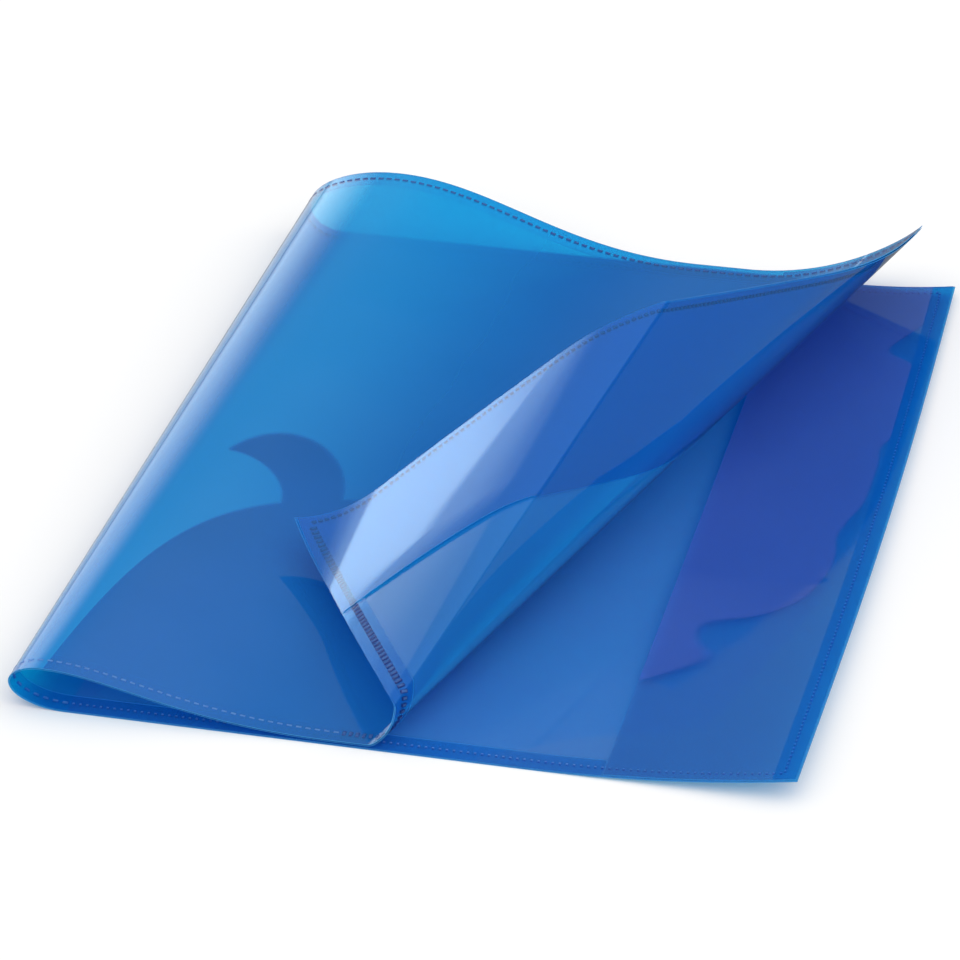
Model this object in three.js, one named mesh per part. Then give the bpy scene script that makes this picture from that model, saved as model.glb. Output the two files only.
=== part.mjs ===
// Exercise book cover: a clear film jacket that lies half open, with one corner of its front rolled over.
// Millimetres and degrees. X runs from the spine to the outer edges, Y from the near end to the far end.
// The origin is on the underside of the back panel, where it rests.
import * as THREE from 'three';

// The cut sheet
const coverHeight = 305;
const backReach = 216;
const frontReach = 211;
const filmThickness = 0.2;
const pocketFilm = 0.15;
const hemFilm = 0.12;
const filmGap = 0.25;

// Pockets and hems, on the inside of the sheet
const backPocketWidth = 54;
const frontPocketWidth = 50;
const hemWidth = 8;
const hemToPocket = 0.5;
const pocketInset = 0.5;
const backPocketBulge = 3;
const frontPocketBulge = 1.2;
const frontSwellLength = 90;
const lipStart = 46;
const lipLength = 130;
const lipGap = 0.4;
const lipHingeInset = 7;

// The back panel lies flat and lifts a little towards its outer corners
const nearCornerLift = 6.9;
const farCornerLift = 3;
const nearLiftLength = 76;
const farLiftLength = 36;

// The spine bends round without a crease, wider at the far end
const nearSpine = { foot: 8, left: -8.5, middle: 8, crest: 1, top: 13.6 };
const farSpine = { foot: 10, left: -1.2, middle: 8.8, crest: 29, top: 24 };
const nearSlope = { crestHandle: 21, footHandle: 46, end: 86 };
const farSlope = { crestHandle: 33, footHandle: 46 };
const slopeLean = 8.6;
const frontSkew = 0.3;
const hingeSplit = 0.3;

// The rolled corner turns over along straight lines that fan out from the near edge.
// start: where the line crosses the near edge, counted from the end of the slope,
// lean: its angle from the spine, turn: how far the film turns between this line and the next
const rollZones = [
  { start: 9, lean: 10, turn: 36 },
  { start: 11, lean: 19, turn: 61 },
  { start: 24, lean: 25.5, turn: 10 },
  { start: 24.5, lean: 37.5, turn: 60 },
  { start: 25.5, lean: 38, turn: 24 },
  { start: 28.5, lean: 42.5, turn: 13 },
  { start: 71, lean: 30.5, turn: 3 },
  { start: 89, lean: 51, turn: -31 },
  { start: 103.5, lean: 60.5, turn: -27 },
  { start: 125, lean: 64, turn: 0 },
];
const turnPerCrease = 6;

// Mesh steps
const stepsAlong = 12;
const lipSteps = [3, 9, 8];
const spineSteps = 7;
const slopeSteps = 10;
const panelSteps = 12;
const pocketStepsAcross = 4;
const frontPocketSteps = 6;

const filmBlue = 0x029cd8;
const filmRoughness = 0.12;

// The origin, on the lying stretch of the back panel
const restX = 80;
const restY = coverHeight / 2;

const radians = THREE.MathUtils.degToRad;
const mix = THREE.MathUtils.lerp;
const insideOffset = filmThickness / 2 + filmGap;

// The lying front keeps clear of the films that are stacked between the two panels
const hemStack = hemFilm + filmGap;
const lyingHeight = filmThickness + 2 * hemStack + filmGap + filmThickness / 2;

// One span of the sheet is a list of lines, each a function from 0 (near end) to 1 (far end)
// that gives a point of the film's middle and the direction of the sheet's inside.

function ruledLine(nearPoint, farPoint, nearTangent, farTangent, insideSign) {
  return (s) => {
    const point = nearPoint.clone().lerp(farPoint, s);
    const tangent = nearTangent.clone().lerp(farTangent, s);
    const along = farPoint.clone().sub(nearPoint);
    const inside = tangent.cross(along).normalize().multiplyScalar(insideSign);
    return { point, inside };
  };
}

function partOfLine(line, from, to) {
  return (s) => line(mix(from, to, s));
}

// Spine and slope: one cubic curve at each end of the book, joined by straight lines
function atEnd(end, x, z) {
  const y = end * coverHeight;
  return new THREE.Vector3(x, y + x * Math.tan(radians(frontSkew)), z);
}

function curveLines(nearCurve, farCurve, steps, insideSign, lead = 0) {
  const curves = [nearCurve, farCurve];
  const leads = curves.map((curve) => curve.getUtoTmapping(0, lead));
  const lines = [];
  for (let i = 0; i <= steps; i += 1) {
    const places = leads.map((start) => mix(start, 1, i / steps));
    const points = curves.map((curve, end) => curve.getPoint(places[end]));
    const tangents = curves.map((curve, end) => curve.getTangent(places[end]));
    lines.push(ruledLine(...points, ...tangents, insideSign));
  }
  return lines;
}

const quarterRound = 0.55;

function lowerSpine(end, spine) {
  const low = filmThickness / 2;
  return new THREE.CubicBezierCurve3(
    new THREE.Vector3(spine.left, end * coverHeight, spine.middle),
    new THREE.Vector3(spine.left, end * coverHeight, mix(spine.middle, low, quarterRound)),
    new THREE.Vector3(mix(spine.foot, spine.left, quarterRound), end * coverHeight, low),
    new THREE.Vector3(spine.foot, end * coverHeight, low),
  );
}

function upperSpine(end, spine) {
  return new THREE.CubicBezierCurve3(
    atEnd(end, spine.left, spine.middle),
    atEnd(end, spine.left, mix(spine.middle, spine.top, quarterRound)),
    atEnd(end, mix(spine.crest, spine.left, quarterRound), spine.top),
    atEnd(end, spine.crest, spine.top),
  );
}

// Where the slope meets the flat of the front, in the panel's flat measures
function slopeEnd(along) {
  return nearSlope.end + along * Math.tan(radians(slopeLean));
}

const lyingPanel = new THREE.Matrix4().makeRotationZ(radians(frontSkew)).setPosition(0, 0, lyingHeight);

function onLyingPanel(across, along) {
  return new THREE.Vector3(across, along, 0).applyMatrix4(lyingPanel);
}

function frontSlope(end, spine, slope) {
  const along = end * coverHeight;
  return new THREE.CubicBezierCurve3(
    atEnd(end, spine.crest, spine.top),
    atEnd(end, spine.crest + slope.crestHandle, spine.top),
    onLyingPanel(slopeEnd(along) - slope.footHandle, along),
    onLyingPanel(slopeEnd(along), along),
  );
}

// Back panel: flat, then lifted as a gentle curve beyond the length that lies
function backPoint(x, s) {
  const lift = mix(nearCornerLift, farCornerLift, s);
  const liftLength = mix(nearLiftLength, farLiftLength, s);
  const beyond = Math.max(0, x - (backReach - liftLength)) / liftLength;
  return new THREE.Vector3(x, s * coverHeight, filmThickness / 2 + lift * beyond ** 2);
}

function backLine(xAt) {
  const probe = 0.01;
  return (s) => {
    const x = xAt(s);
    const point = backPoint(x, s);
    const acrossX = backPoint(x + probe, s).sub(backPoint(x - probe, s));
    const alongY = backPoint(x, s + probe).sub(backPoint(x, s - probe));
    return { point, inside: acrossX.cross(alongY).normalize() };
  };
}

function backSpanLines(from, to, steps) {
  const lines = [];
  for (let i = 0; i <= steps; i += 1) {
    lines.push(backLine((s) => mix(from(s), to(s), i / steps)));
  }
  return lines;
}

// Front panel: flat film coordinates (across, along) folded up along the roll's lines
function rollCreases() {
  const creases = [];
  for (let i = 0; i + 1 < rollZones.length; i += 1) {
    const zone = rollZones[i];
    const next = rollZones[i + 1];
    const count = Math.max(2, Math.ceil(Math.abs(zone.turn) / turnPerCrease));
    for (let j = 0; j < count; j += 1) {
      const w = (j + 0.5) / count;
      creases.push({
        start: nearSlope.end + mix(zone.start, next.start, w),
        lean: radians(mix(zone.lean, next.lean, w)),
        turn: radians(zone.turn) / count,
      });
    }
  }
  return creases;
}

const creases = rollCreases();

function foldedFacets() {
  const facets = [lyingPanel];
  for (const crease of creases) {
    const axis = new THREE.Vector3(Math.sin(crease.lean), Math.cos(crease.lean), 0);
    const toCrease = new THREE.Matrix4().makeTranslation(crease.start, 0, 0);
    const back = new THREE.Matrix4().makeTranslation(-crease.start, 0, 0);
    const bend = new THREE.Matrix4().makeRotationAxis(axis, -crease.turn);
    facets.push(facets.at(-1).clone().multiply(toCrease).multiply(bend).multiply(back));
  }
  return facets;
}

const facets = foldedFacets();

// A place in the fan: whole numbers are creases, fractions lie between two of them,
// and beyond the first and last crease the lines run on side by side, a millimetre to each unit
function fanLine(place) {
  const last = creases.length - 1;
  if (place <= 0) {
    return { start: creases[0].start + place, lean: creases[0].lean };
  }
  if (place >= last) {
    return { start: creases[last].start + place - last, lean: creases[last].lean };
  }
  const i = Math.floor(place);
  const w = place - i;
  return {
    start: mix(creases[i].start, creases[i + 1].start, w),
    lean: mix(creases[i].lean, creases[i + 1].lean, w),
  };
}

function beyondLine(line, across, along) {
  return (across - line.start) * Math.cos(line.lean) - along * Math.sin(line.lean);
}

// Found by halving: the fan lines sweep the flat panel in order
const halvings = 60;

function fanPlaceOf(across, along) {
  const farOff = coverHeight * Math.tan(creases.at(-1).lean);
  let low = -frontReach - coverHeight;
  let high = creases.length + frontReach + farOff;
  for (let i = 0; i < halvings; i += 1) {
    const middle = (low + high) / 2;
    if (beyondLine(fanLine(middle), across, along) > 0) {
      low = middle;
    } else {
      high = middle;
    }
  }
  return (low + high) / 2;
}

function facetOf(place) {
  return facets[THREE.MathUtils.clamp(Math.ceil(place), 0, creases.length)];
}

function foldedNormal(place) {
  const whole = Math.round(place);
  const onCrease = Math.abs(place - whole) < 1e-6 && whole >= 0 && whole < creases.length;
  const up = new THREE.Vector3(0, 0, 1);
  if (!onCrease) {
    return up.transformDirection(facetOf(place));
  }
  const before = up.clone().transformDirection(facets[whole]);
  const after = up.clone().transformDirection(facets[whole + 1]);
  return before.add(after).normalize();
}

// The stretch of a fan line inside a convex outline, given as flat points in turn
function clippedToOutline(line, outline) {
  const direction = [Math.sin(line.lean), Math.cos(line.lean)];
  let from = -Infinity;
  let to = Infinity;
  outline.forEach(([x0, y0], i) => {
    const [x1, y1] = outline[(i + 1) % outline.length];
    const outward = [y1 - y0, x0 - x1];
    const speed = outward[0] * direction[0] + outward[1] * direction[1];
    const gap = outward[0] * (x0 - line.start) + outward[1] * y0;
    if (speed > 1e-9) {
      to = Math.min(to, gap / speed);
    } else if (speed < -1e-9) {
      from = Math.max(from, gap / speed);
    }
  });
  const middle = (from + to) / 2;
  const ends = from < to ? [from, to] : [middle, middle];
  return ends.map((s) => [line.start + s * direction[0], s * direction[1]]);
}

function foldedLine(place, from, to) {
  const matrix = facetOf(place);
  const inside = foldedNormal(place).negate();
  return (s) => {
    const across = mix(from[0], to[0], s);
    const along = mix(from[1], to[1], s);
    return { point: new THREE.Vector3(across, along, 0).applyMatrix4(matrix), inside, across, along };
  };
}

// A crease this near to a line through a corner is left to that line
const nearestCrease = 0.15;

// Lines over an outline of the folded panel, counter-clockwise from its near left corner
function foldedSpanLines(outline, fromSlope) {
  const corners = outline.map(([across, along]) => fanPlaceOf(across, along));
  const first = fromSlope ? corners[0] : Math.min(...corners);
  const last = Math.max(...corners);
  const places = new Set(corners.filter((place) => place >= first));
  for (let i = Math.max(0, Math.ceil(first)); i <= Math.min(last, creases.length - 1); i += 1) {
    if (corners.every((corner) => Math.abs(corner - i) > nearestCrease)) {
      places.add(i);
    }
  }
  const sorted = [...places].sort((a, b) => a - b);
  return sorted.map((place) => foldedLine(place, ...clippedToOutline(fanLine(place), outline)));
}

// A closed sheet of film: the lines become a grid, which is given its thickness both ways
function filmSheet(lines, steps, thickness, offsetAt, isLeftOut = () => false) {
  const middle = [];
  const insides = [];
  const known = new Map();
  const grid = lines.map((line) => {
    const row = [];
    for (let j = 0; j <= steps; j += 1) {
      const spot = line(j / steps);
      const place = spot.point.clone().addScaledVector(spot.inside, offsetAt(spot));
      const key = place.toArray().map((value) => value.toFixed(3)).join();
      if (!known.has(key)) {
        known.set(key, middle.length);
        middle.push(place);
        insides.push(spot.inside);
      }
      row.push(known.get(key));
    }
    return row;
  });
  const faces = [];
  for (let i = 0; i + 1 < grid.length; i += 1) {
    for (let j = 0; j < steps; j += 1) {
      const [a, b, c, d] = [grid[i][j], grid[i + 1][j], grid[i + 1][j + 1], grid[i][j + 1]];
      if (!isLeftOut(i, j)) {
        faces.push([a, b, c], [a, c, d]);
      }
    }
  }
  const whole = faces.filter(([a, b, c]) => a !== b && b !== c && c !== a);
  return thickened(middle, insides, whole, thickness);
}

function thickened(middle, insides, faces, thickness) {
  let agreement = 0;
  for (const [a, b, c] of faces) {
    const side = middle[b].clone().sub(middle[a]).cross(middle[c].clone().sub(middle[a]));
    agreement += side.dot(insides[a]);
  }
  const turned = agreement < 0 ? faces.map(([a, b, c]) => [a, c, b]) : faces;
  const count = middle.length;
  const positions = [];
  for (const half of [thickness / 2, -thickness / 2]) {
    middle.forEach((point, i) => positions.push(...point.clone().addScaledVector(insides[i], half)));
  }
  const edges = new Set(turned.flatMap(([a, b, c]) => [`${a},${b}`, `${b},${c}`, `${c},${a}`]));
  const index = [];
  for (const [a, b, c] of turned) {
    index.push(a, b, c, c + count, b + count, a + count);
  }
  for (const edge of edges) {
    const [a, b] = edge.split(',').map(Number);
    if (!edges.has(`${b},${a}`)) {
      index.push(b, a, a + count, b, a + count, b + count);
    }
  }
  const geometry = new THREE.BufferGeometry();
  geometry.setAttribute('position', new THREE.Float32BufferAttribute(positions, 3));
  geometry.setIndex(index);
  geometry.computeVertexNormals();
  return geometry;
}

const cover = new THREE.Group();
cover.name = 'exercise_book_cover';
cover.position.set(-restX, -restY, 0);

function addFilm(name, geometry) {
  const material = new THREE.MeshStandardMaterial({ color: filmBlue, roughness: filmRoughness, metalness: 0 });
  const mesh = new THREE.Mesh(geometry, material);
  mesh.name = name;
  cover.add(mesh);
}

// Spans of the sheet, from the middle of the spine out to each outer edge
const splitHalf = hingeSplit / 2;
const lowerSpineLines = curveLines(
  lowerSpine(0, nearSpine), lowerSpine(1, farSpine), spineSteps, 1, splitHalf);
const upperSpineLines = curveLines(
  upperSpine(0, nearSpine), upperSpine(1, farSpine), spineSteps, -1, splitHalf);
const slopeLines = curveLines(
  frontSlope(0, nearSpine, nearSlope), frontSlope(1, farSpine, farSlope), slopeSteps, -1);
const frontSpineLines = [...upperSpineLines, ...slopeLines.slice(1)];
const footAt = (s) => mix(nearSpine.foot, farSpine.foot, s);

function frontOutline(from, to, nearSide, farSide) {
  return [[from(nearSide), nearSide], [to, nearSide], [to, farSide], [from(farSide), farSide]];
}

// The sheet, in its back and front halves
function addSheet() {
  const onSheet = () => 0;
  const backSpan = backSpanLines(footAt, () => backReach, panelSteps);
  addFilm('back_cover', filmSheet([...lowerSpineLines, ...backSpan.slice(1)], stepsAlong, filmThickness, onSheet));

  const frontSpan = foldedSpanLines(frontOutline(slopeEnd, frontReach, 0, coverHeight), true);
  addFilm('front_cover', filmSheet([...frontSpineLines, ...frontSpan], stepsAlong, filmThickness, onSheet));
}

// Hems stiffen the near and far edges between the two pockets
function addHems() {
  const onHem = () => insideOffset + hemFilm / 2;
  const share = hemWidth / coverHeight;
  const sides = { near: [0, share], far: [1 - share, 1] };
  const backMouth = backReach - backPocketWidth - hemToPocket;
  const frontMouth = frontReach - frontPocketWidth - hemToPocket;
  for (const [side, [from, to]] of Object.entries(sides)) {
    const backLines = [...lowerSpineLines, ...backSpanLines(footAt, () => backMouth, panelSteps).slice(1)];
    const backHem = backLines.map((line) => partOfLine(line, from, to));
    addFilm(`back_hem_${side}`, filmSheet(backHem, 1, hemFilm, onHem));

    const outline = frontOutline(slopeEnd, frontMouth, from * coverHeight, to * coverHeight);
    const frontHem = frontSpineLines.map((line) => partOfLine(line, from, to));
    const lines = [...frontHem, ...foldedSpanLines(outline, true)];
    addFilm(`front_hem_${side}`, filmSheet(lines, 1, hemFilm, onHem));
  }
}

// How far a pocket's film stands off the cover: most at the middle of its mouth
function swell(height, fromWeld, along) {
  return height * Math.sin(Math.PI * THREE.MathUtils.clamp(along, 0, 1)) * fromWeld ** 2;
}

const pocketOffset = insideOffset + pocketFilm / 2;

// The back pocket's mouth has a lip that lifts, in a notch of the film that stays welded down
function addBackPocket() {
  const mouth = backReach - backPocketWidth;
  const outer = backReach - pocketInset;
  const hinge = backReach - lipHingeInset;
  const lipEnd = lipStart + lipLength;
  const offsetAt = ({ point }) => {
    const fromWeld = Math.max(0, (hinge - point.x) / (hinge - mouth));
    return pocketOffset + swell(backPocketBulge, fromWeld, point.y / coverHeight);
  };
  const stops = [pocketInset, lipStart, lipEnd, coverHeight - pocketInset];
  const places = stops.slice(1).flatMap((stop, part) => {
    const steps = Array.from({ length: lipSteps[part] }, (_, j) => j / lipSteps[part]);
    return steps.map((w) => mix(stops[part], stop, w) / coverHeight);
  });
  places.push(stops.at(-1) / coverHeight);
  const steps = places.length - 1;
  const acrossLines = [
    ...backSpanLines(() => mouth, () => hinge, pocketStepsAcross),
    ...backSpanLines(() => hinge, () => outer, 1).slice(1),
  ].map((line) => (s) => line(places[Math.round(s * steps)]));
  const inNotch = (i, j) => i < pocketStepsAcross && j >= lipSteps[0] && j < lipSteps[0] + lipSteps[1];
  addFilm('back_pocket', filmSheet(acrossLines, steps, pocketFilm, offsetAt, inNotch));

  const lipFrom = (lipStart + lipGap) / coverHeight;
  const lipTo = (lipEnd - lipGap) / coverHeight;
  const lipLines = backSpanLines(() => mouth, () => hinge - lipGap, pocketStepsAcross)
    .map((line) => partOfLine(line, lipFrom, lipTo));
  addFilm('back_pocket_lip', filmSheet(lipLines, lipSteps[1], pocketFilm, offsetAt));
}

// The front pocket follows the rolled corner and is drawn tight round it
function addFrontPocket() {
  const mouth = frontReach - frontPocketWidth;
  const outer = frontReach - pocketInset;
  const offsetAt = ({ across, along }) => {
    const fromWeld = (outer - across) / (outer - mouth);
    return pocketOffset + swell(frontPocketBulge, fromWeld, along / frontSwellLength);
  };
  const outline = frontOutline(() => mouth, outer, pocketInset, coverHeight - pocketInset);
  addFilm('front_pocket', filmSheet(foldedSpanLines(outline, false), frontPocketSteps, pocketFilm, offsetAt));
}

addSheet();
addHems();
addBackPocket();
addFrontPocket();

export default cover;
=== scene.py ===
import math
import bpy
import numpy as np
from mathutils import Matrix, Vector


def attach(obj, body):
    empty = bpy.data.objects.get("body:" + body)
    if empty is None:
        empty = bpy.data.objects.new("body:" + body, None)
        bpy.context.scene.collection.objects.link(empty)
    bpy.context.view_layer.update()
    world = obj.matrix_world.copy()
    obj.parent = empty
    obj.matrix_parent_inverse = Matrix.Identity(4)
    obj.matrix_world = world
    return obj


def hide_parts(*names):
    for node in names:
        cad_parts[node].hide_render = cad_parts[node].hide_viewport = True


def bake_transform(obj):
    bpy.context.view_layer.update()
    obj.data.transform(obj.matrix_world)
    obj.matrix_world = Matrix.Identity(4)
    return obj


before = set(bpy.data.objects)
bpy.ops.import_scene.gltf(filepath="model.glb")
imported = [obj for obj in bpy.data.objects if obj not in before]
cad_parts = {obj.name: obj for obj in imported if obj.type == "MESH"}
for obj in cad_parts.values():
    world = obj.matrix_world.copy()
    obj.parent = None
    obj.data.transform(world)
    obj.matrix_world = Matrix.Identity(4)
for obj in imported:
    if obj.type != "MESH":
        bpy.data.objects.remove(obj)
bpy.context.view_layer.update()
print("frame loaded")

# Millimetres of the flat cut film, measured from the near edge and from the spine
jacket = {
    "height": 305.0, "backReach": 216.0, "frontReach": 211.0,
    "film": 0.2, "pocketFilm": 0.15, "hemFilm": 0.12, "gap": 0.25,
    "restX": 80.0,   # where the frame's origin lies on the back panel
    "sealInset": 4.3,   # the welded seam runs this far inside every edge
    "flapInset": 2.7,   # but closer to the front's outer edge
    "meshPitch": 4.0, "pocketPitch": 3.0,
}
insideOffset = jacket["film"] / 2 + jacket["gap"]
# The front's middle, lying on the back with both hem strips between them
lyingHeight = jacket["film"] * 1.5 + 2 * (jacket["hemFilm"] + jacket["gap"]) + jacket["gap"]
sheetHeight = jacket["height"]
perMetre = 1000
tiny = 1e-9   # less than this counts as nothing


def mix(a, b, w):
    return a + (b - a) * w


def unit(v):
    return v / np.maximum(np.linalg.norm(v, axis=-1, keepdims=True), 1e-12)


def inMetres(points):
    return (np.asarray(points) - [jacket["restX"], sheetHeight / 2, 0]) / perMetre


# Colours are written as the eye sees them, and turned to linear here
def colour(hexText, alpha=1.0):
    values = [int(hexText[i:i + 2], 16) / 255 for i in (1, 3, 5)]
    return [v / 12.92 if v <= 0.04045 else ((v + 0.055) / 1.055) ** 2.4 for v in values] + [alpha]


def addNode(tree, kind, links=(), values=(), **settings):
    node = tree.nodes.new(kind)
    for key, value in settings.items():
        setattr(node, key, value)
    for place, value in values:
        node.inputs[place].default_value = value
    for place, source in links:
        tree.links.new(source, node.inputs[place])
    return node


def newMaterial(name):
    material = bpy.data.materials.new(name)
    material.use_nodes = True
    material.node_tree.nodes.clear()
    return material, material.node_tree


rising, falling, wholeRange = (0.0, 1.0), (1.0, 0.0), (0.0, 1.0)


# One maths node: sockets are linked to it and numbers are set
def maths(tree, operation, *inputs, **settings):
    links = [(k, value) for k, value in enumerate(inputs) if isinstance(value, bpy.types.NodeSocket)]
    values = [(k, value) for k, value in enumerate(inputs) if not isinstance(value, bpy.types.NodeSocket)]
    return addNode(tree, "ShaderNodeMath", links, values, operation=operation, **settings).outputs[0]


# One map range node, from a pair of edges to a pair of levels
def between(tree, source, edges, levels=rising, interpolation="SMOOTHSTEP"):
    spans = list(zip(("From Min", "From Max", "To Min", "To Max"), (*edges, *levels)))
    ramp = addNode(tree, "ShaderNodeMapRange", [("Value", source)], spans, interpolation_type=interpolation)
    return ramp.outputs[0]


# From one colour to the other; the mix node keeps its colours in sockets 6 and 7
def toned(tree, factor, first, second):
    colours = [(6, colour(first)), (7, colour(second))]
    return addNode(tree, "ShaderNodeMix", [(0, factor)], colours, data_type="RGBA").outputs[2]


# Soft PVC film, calendered clear and dyed blue: what lies behind shows through sharp and deep blue,
# with a faint milky bloom in the film and two mirror-like faces. A tint is what one face lets through,
# a share is how much of the bloom covers it.
filmLook = {
    # The back film's bloom is redder than the cover's: partly its milky haze, partly a painted sheen that
    # stands in for a reflection on the back panel.
    "coverTint": "#0bdef4", "coverBloom": "#37a1f5", "backBloomAndSheen": "#6a92ee", "coverShare": 0.25,
    "pocketTint": "#0bdcf4", "pocketBloom": "#30a0f4", "pocketShare": 0.14,
    "clingTint": "#c4f3fd", "clingBloom": "#849cfa",
    "hemTint": "#dff5fd", "hemShare": 0.01, "fusedTint": "#b4eafa", "fusedShare": 0.03,
    "unevenShare": (0.85, 1.15),
    "shine": "#ffffff", "roughness": 0.045, "mirror": 0.045,
    "fusedMirror": 0.012,   # on films that lie flat on another one
    "edgeOn": 21.0, "edgeOnPower": 5.0,   # how much more a face mirrors when seen edge-on
    "rippleSize": 0.055, "rippleDetail": 1.0, "rippleDepth": 0.00035,
    "cutEdge": "#43a0de", "cutRoughness": 0.25, "ior": 1.53,
}

# Where the back pocket clings to the cover, the air gap is gone and its film hardly shows.
# Two straight borders on the flat film, in metres, one towards the near end and one along the
# outer seam, are made uneven by a noise.
cling = {
    "nearSlope": (38.3, -16.7, 0.0), "nearOffset": -5.63,
    "seamSlope": (60.0, 0.0, 0.0), "seamOffset": -12.45,
    "patchSize": 0.046, "distortion": 0.5, "uneven": 1.9, "edge": 0.05, "clear": 0.1,
}


def clingMask(tree):
    flat = addNode(tree, "ShaderNodeUVMap", uv_map="flat_film").outputs[0]
    sides = []
    for key in ("near", "seam"):
        slope = addNode(tree, "ShaderNodeVectorMath", [(0, flat)], [(1, cling[key + "Slope"])],
                        operation="DOT_PRODUCT")
        sides.append(maths(tree, "ADD", slope.outputs["Value"], cling[key + "Offset"]))
    wave = addNode(tree, "ShaderNodeTexNoise", [("Vector", flat)],
                   [("Scale", 1 / cling["patchSize"]), ("Detail", 0.0), ("Distortion", cling["distortion"])])
    uneven = maths(tree, "MULTIPLY_ADD", wave.outputs["Fac"], cling["uneven"], maths(tree, "MAXIMUM", *sides))
    middle = cling["uneven"] / 2
    return between(tree, uneven, (middle - cling["edge"], middle + cling["edge"]))


# The front lies on the back under a dome and a crescent, and there its bloom is painted darker, as shade.
# Round them it stands clear, and a painted glow near the spine stands in for light that comes in between
# the films. Flat millimetres from the crest and from the near edge.
paintedShadeAndGlow = {
    "domeHeight": 30.0, "domeStart": 4.0, "domeFoot": 0.5,
    "crescent": (27.0, 112.0), "crescentSize": (20.5, 31.0), "bite": (11.0, 104.0), "biteSize": (21.0, 21.0),
    "edge": 0.05, "dim": 0.86,
    "glowStart": (-11.0, 2.0), "glowReach": (10.0, 84.0), "glow": 0.26, "glowColour": "#27a4ea",
}


def withinOval(tree, place, middle, size):
    scaled = addNode(tree, "ShaderNodeVectorMath", [(0, place)],
                     [(1, (1 / size[0], 1 / size[1], 0)), (2, (-middle[0] / size[0], -middle[1] / size[1], 0))],
                     operation="MULTIPLY_ADD")
    reach = addNode(tree, "ShaderNodeVectorMath", [(0, scaled.outputs[0])], operation="LENGTH")
    return between(tree, reach.outputs["Value"], (1 - paintedShadeAndGlow["edge"], 1 + paintedShadeAndGlow["edge"]), falling)


# Masks of the painted shade, under the dome and crescent, and of the painted glow, both fading away from the
# spine
def paintedShadeAndGlowMasks(tree):
    flat = addNode(tree, "ShaderNodeUVMap", uv_map="flat_film").outputs[0]
    place = addNode(tree, "ShaderNodeVectorMath", [(0, flat)], [(1, (perMetre, perMetre, 0))],
                    operation="MULTIPLY").outputs[0]
    sides = addNode(tree, "ShaderNodeSeparateXYZ", [(0, place)])
    across, along = sides.outputs["X"], sides.outputs["Y"]
    # the dome's rim rises from its foot like a logarithm
    rim = maths(tree, "LOGARITHM", maths(tree, "MAXIMUM", across, paintedShadeAndGlow["domeFoot"]), math.e)
    height = maths(tree, "MULTIPLY_ADD", along,
                   1 / paintedShadeAndGlow["domeHeight"], -paintedShadeAndGlow["domeStart"] / paintedShadeAndGlow["domeHeight"])
    above = maths(tree, "SUBTRACT", height, rim)
    dome = between(tree, above, (-paintedShadeAndGlow["edge"], paintedShadeAndGlow["edge"]), falling)
    crescent = withinOval(tree, place, paintedShadeAndGlow["crescent"], paintedShadeAndGlow["crescentSize"])
    bite = withinOval(tree, place, paintedShadeAndGlow["bite"], paintedShadeAndGlow["biteSize"])
    hook = maths(tree, "SUBTRACT", crescent, bite, use_clamp=True)
    paintedShadeShape = maths(tree, "MAXIMUM", dome, hook)
    reach = between(tree, across, paintedShadeAndGlow["glowReach"], falling)
    start = between(tree, across, paintedShadeAndGlow["glowStart"], falling)
    nearSpine = maths(tree, "SUBTRACT", reach, start, use_clamp=True)
    paintedShadeMask = maths(tree, "MULTIPLY", nearSpine, paintedShadeShape)
    return paintedShadeMask, maths(tree, "SUBTRACT", nearSpine, paintedShadeMask, use_clamp=True)


def filmMaterial(name, tint, bloom, share, clings=False, paintsShadeAndGlow=False, mirror=filmLook["mirror"]):
    material, tree = newMaterial(name)
    place = addNode(tree, "ShaderNodeTexCoord")
    waves = [("Scale", 1 / filmLook["rippleSize"]), ("Detail", filmLook["rippleDetail"])]
    ripple = addNode(tree, "ShaderNodeTexNoise", [("Vector", place.outputs["Object"])], waves).outputs["Fac"]
    bump = addNode(tree, "ShaderNodeBump",
                   [("Height", ripple)], [("Distance", filmLook["rippleDepth"])]).outputs[0]
    milkiness = between(tree, ripple, wholeRange,
                        [share * uneven for uneven in filmLook["unevenShare"]], "LINEAR")
    clear = addNode(tree, "ShaderNodeBsdfTransparent", values=[("Color", colour(tint))])
    milky = addNode(tree, "ShaderNodeBsdfDiffuse", values=[("Color", colour(bloom))])
    if clings:
        mask = clingMask(tree)
        fade = between(tree, mask, wholeRange, (1.0, cling["clear"]), "LINEAR")
        milkiness = maths(tree, "MULTIPLY", milkiness, fade)
        tree.links.new(toned(tree, mask, tint, filmLook["clingTint"]), clear.inputs["Color"])
    # painted shade dims the bloom under the dome and crescent; painted light adds a glow of its own colour near
    # the spine
    if paintsShadeAndGlow:
        paintedShadeMask, lit = paintedShadeAndGlowMasks(tree)
        dimmed = between(tree, paintedShadeMask, wholeRange, (1.0, paintedShadeAndGlow["dim"]), "LINEAR")
        milkiness = maths(tree, "MULTIPLY", milkiness, dimmed)
        milkiness = maths(tree, "MULTIPLY_ADD", lit, paintedShadeAndGlow["glow"], milkiness)
        tree.links.new(toned(tree, lit, bloom, paintedShadeAndGlow["glowColour"]), milky.inputs["Color"])
    body = addNode(tree, "ShaderNodeMixShader", [(0, milkiness), (1, clear.outputs[0]), (2, milky.outputs[0])])
    gloss = addNode(tree, "ShaderNodeBsdfGlossy", [("Normal", bump)],
                    [("Color", colour(filmLook["shine"])), ("Roughness", filmLook["roughness"])])
    facing = addNode(tree, "ShaderNodeLayerWeight", [("Normal", bump)], [("Blend", 0.5)]).outputs["Facing"]
    rise = maths(tree, "POWER", facing, filmLook["edgeOnPower"])
    shine = maths(tree, "MULTIPLY_ADD", rise, filmLook["edgeOn"] * mirror, mirror)
    both = addNode(tree, "ShaderNodeMixShader", [(0, shine), (1, body.outputs[0]), (2, gloss.outputs[0])])
    addNode(tree, "ShaderNodeOutputMaterial", [("Surface", both.outputs[0])])
    return material


# the back film's bloom carries the painted sheen
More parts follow.
